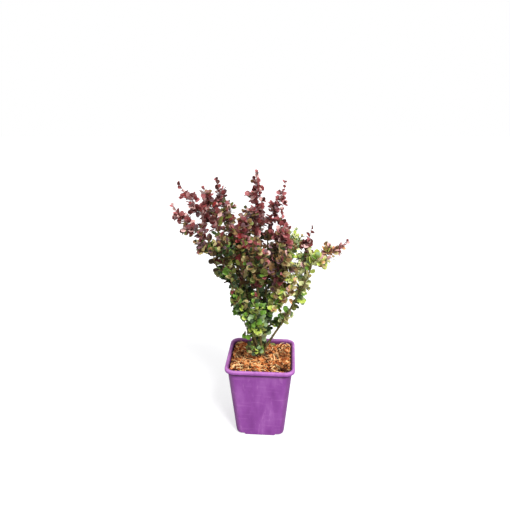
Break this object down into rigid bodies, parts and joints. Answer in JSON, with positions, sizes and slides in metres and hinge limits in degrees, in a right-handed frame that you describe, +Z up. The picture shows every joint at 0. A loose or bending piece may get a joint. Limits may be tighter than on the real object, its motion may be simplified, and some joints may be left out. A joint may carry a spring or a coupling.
{
  "type": "potted japanese barberry",
  "caption": "Bushy Japanese barberry, many thin arching stems with small rounded wine-red and green leaves, in a square tapered plastic nursery pot with bark mulch.",
  "frame": {"origin": "centre of the pot's flat underside, on the surface it stands on", "axes": "+Z up, +X to the right of the plant seen from the front, -Y towards the front"},
  "size_m": [0.4218, 0.2821, 0.6969],
  "materials": {
    "pot": "satin moulded purple polypropylene",
    "potting_mix": "dark damp peat and bark mix",
    "bark_mulch": "rough orange-brown shredded bark",
    "bark": "dull tan-brown ridged bark",
    "foliage": "thin leathery leaves, wine red turning green inside"
  },
  "bodies": {
    "root": {"bark_mulch": "bark_mulch", "bough_back_left": "bark", "bough_centre_left": "bark", "bough_front_right": "bark", "bough_left_inner": "bark", "bough_right_low": "bark", "bough_right_short": "bark", "bough_under_left": "bark", "pot": "pot", "potting_mix": "potting_mix", "root_collar": "bark", "spray_back_centre": "foliage", "spray_back_inner": "foliage", "spray_back_left": "foliage", "spray_back_low": "foliage", "spray_back_low_left": "foliage", "spray_back_right": "foliage", "spray_centre_left": "foliage", "spray_core": "foliage", "spray_core_low": "foliage", "spray_far_right": "foliage", "spray_foot": "foliage", "spray_front_centre": "foliage", "spray_front_left": "foliage", "spray_front_low": "foliage", "spray_front_low_left": "foliage", "spray_front_low_right": "foliage", "spray_front_right": "foliage", "spray_left_centre": "foliage", "spray_left_fill": "foliage", "spray_left_high": "foliage", "spray_left_inner": "foliage", "spray_left_low": "foliage", "spray_left_mid": "foliage", "spray_left_under": "foliage", "spray_low_front": "foliage", "spray_low_left": "foliage", "spray_low_right": "foliage", "spray_right_fill": "foliage", "spray_right_green": "foliage", "spray_right_low": "foliage", "spray_right_mid": "foliage", "spray_right_short": "foliage", "spray_right_spire": "foliage", "spray_right_under": "foliage", "spray_right_upright": "foliage", "spray_spire": "foliage", "stem_back": "bark", "stem_back_right": "bark", "stem_centre": "bark", "stem_far_left": "bark", "stem_far_right": "bark", "stem_front": "bark", "stem_front_left": "bark", "stem_left": "bark", "stem_left_centre": "bark", "stem_right": "bark", "stem_right_centre": "bark"}
  },
  "joints": []
}
